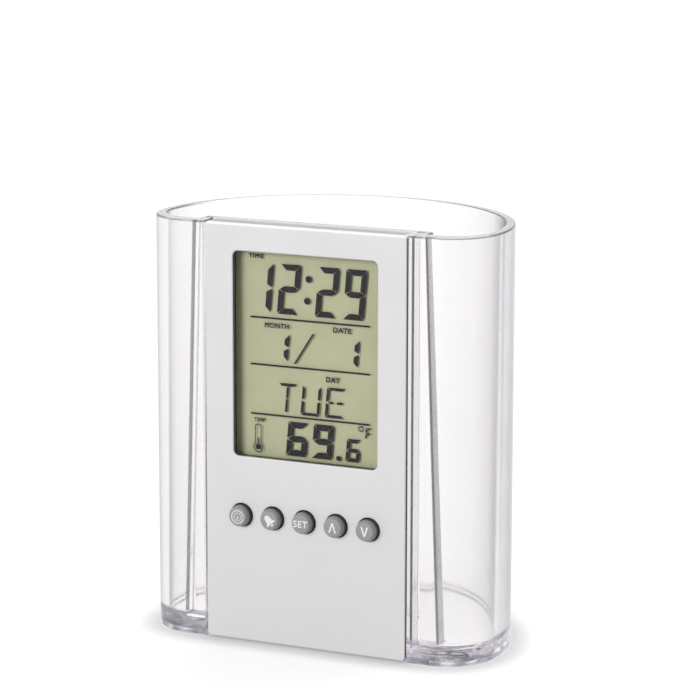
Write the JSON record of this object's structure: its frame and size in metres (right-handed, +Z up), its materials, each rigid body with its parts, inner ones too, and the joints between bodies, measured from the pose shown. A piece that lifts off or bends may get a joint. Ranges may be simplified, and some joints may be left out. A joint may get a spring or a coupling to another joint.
{
  "type": "desk clock pen holder",
  "caption": "Clear moulded pen cup with a half-oval back and a slim silver digital clock set flush into its front: LCD window, row of push buttons and a pull-out battery tray.",
  "frame": {"origin": "middle of the footprint's bounding box, on the table", "axes": "+Z up along the cup's height, +X to the right of the clock face, +Y from the clock face towards the oval back"},
  "size_m": [0.0868, 0.0568, 0.1],
  "materials": {
    "clear_plastic": "clear polished moulding",
    "silver_plastic": "satin silver paint on plastic",
    "grey_plastic": "moulded satin",
    "button_plastic": "satin with white printed signs",
    "black_foam": "fine foam",
    "white_plastic": "moulded",
    "lcd_glass": "clear with polariser film",
    "reflector_film": "satin film",
    "connector_rubber": "layered elastomer",
    "board_laminate": "solder mask",
    "black_resin": "cured drop",
    "sensor_resin": "dipped",
    "bright_metal": "nickel plated",
    "dome_rubber": "silicone",
    "spring_brass": "sheet",
    "red_insulation": "extruded sleeve",
    "black_insulation": "extruded sleeve"
  },
  "bodies": {
    "holder": {"clear_cup": "clear_plastic", "front_panel": "silver_plastic", "back_cover": "grey_plastic", "cover_screw_1": "bright_metal", "cover_screw_2": "bright_metal", "cover_screw_3": "bright_metal", "cover_screw_4": "bright_metal", "lcd_gasket": "black_foam", "lcd_frame": "white_plastic", "lcd_front_glass": "lcd_glass", "lcd_rear_glass": "lcd_glass", "lcd_reflector": "reflector_film", "zebra_strip_top": "connector_rubber", "zebra_strip_bottom": "connector_rubber", "circuit_board": "board_laminate", "clock_chip": "black_resin", "quartz_crystal": "bright_metal", "thermistor": "sensor_resin", "dome_clock": "dome_rubber", "dome_alarm": "dome_rubber", "dome_set": "dome_rubber", "dome_up": "dome_rubber", "dome_down": "dome_rubber", "contact_positive": "spring_brass", "contact_negative": "spring_brass", "piezo_buzzer": "spring_brass", "buzzer_wire_1": "red_insulation", "buzzer_wire_2": "black_insulation"},
    "clock_button": {"button_clock": "button_plastic"},
    "alarm_button": {"button_alarm": "button_plastic"},
    "set_button": {"button_set": "button_plastic"},
    "up_button": {"button_up": "button_plastic"},
    "down_button": {"button_down": "button_plastic"},
    "battery_drawer": {"battery_tray": "grey_plastic", "coin_cell": "bright_metal"}
  },
  "joints": [
    {"name": "clock_press", "type": "slide", "parent": "holder", "child": "clock_button", "axis": [0, 1, 0], "range_m": [0, 0.0008], "stiffness_N_per_m": 1000, "springref_m": -0.0002, "deforming": ["dome_clock"]},
    {"name": "alarm_press", "type": "slide", "parent": "holder", "child": "alarm_button", "axis": [0, 1, 0], "range_m": [0, 0.0008], "stiffness_N_per_m": 1000, "springref_m": -0.0002, "deforming": ["dome_alarm"]},
    {"name": "set_press", "type": "slide", "parent": "holder", "child": "set_button", "axis": [0, 1, 0], "range_m": [0, 0.0008], "stiffness_N_per_m": 1000, "springref_m": -0.0002, "deforming": ["dome_set"]},
    {"name": "up_press", "type": "slide", "parent": "holder", "child": "up_button", "axis": [0, 1, 0], "range_m": [0, 0.0008], "stiffness_N_per_m": 1000, "springref_m": -0.0002, "deforming": ["dome_up"]},
    {"name": "down_press", "type": "slide", "parent": "holder", "child": "down_button", "axis": [0, 1, 0], "range_m": [0, 0.0008], "stiffness_N_per_m": 1000, "springref_m": -0.0002, "deforming": ["dome_down"]},
    {"name": "battery_tray_slide", "type": "slide", "parent": "holder", "child": "battery_drawer", "axis": [0, 0, -1], "range_m": [0, 0.018]}
  ]
}
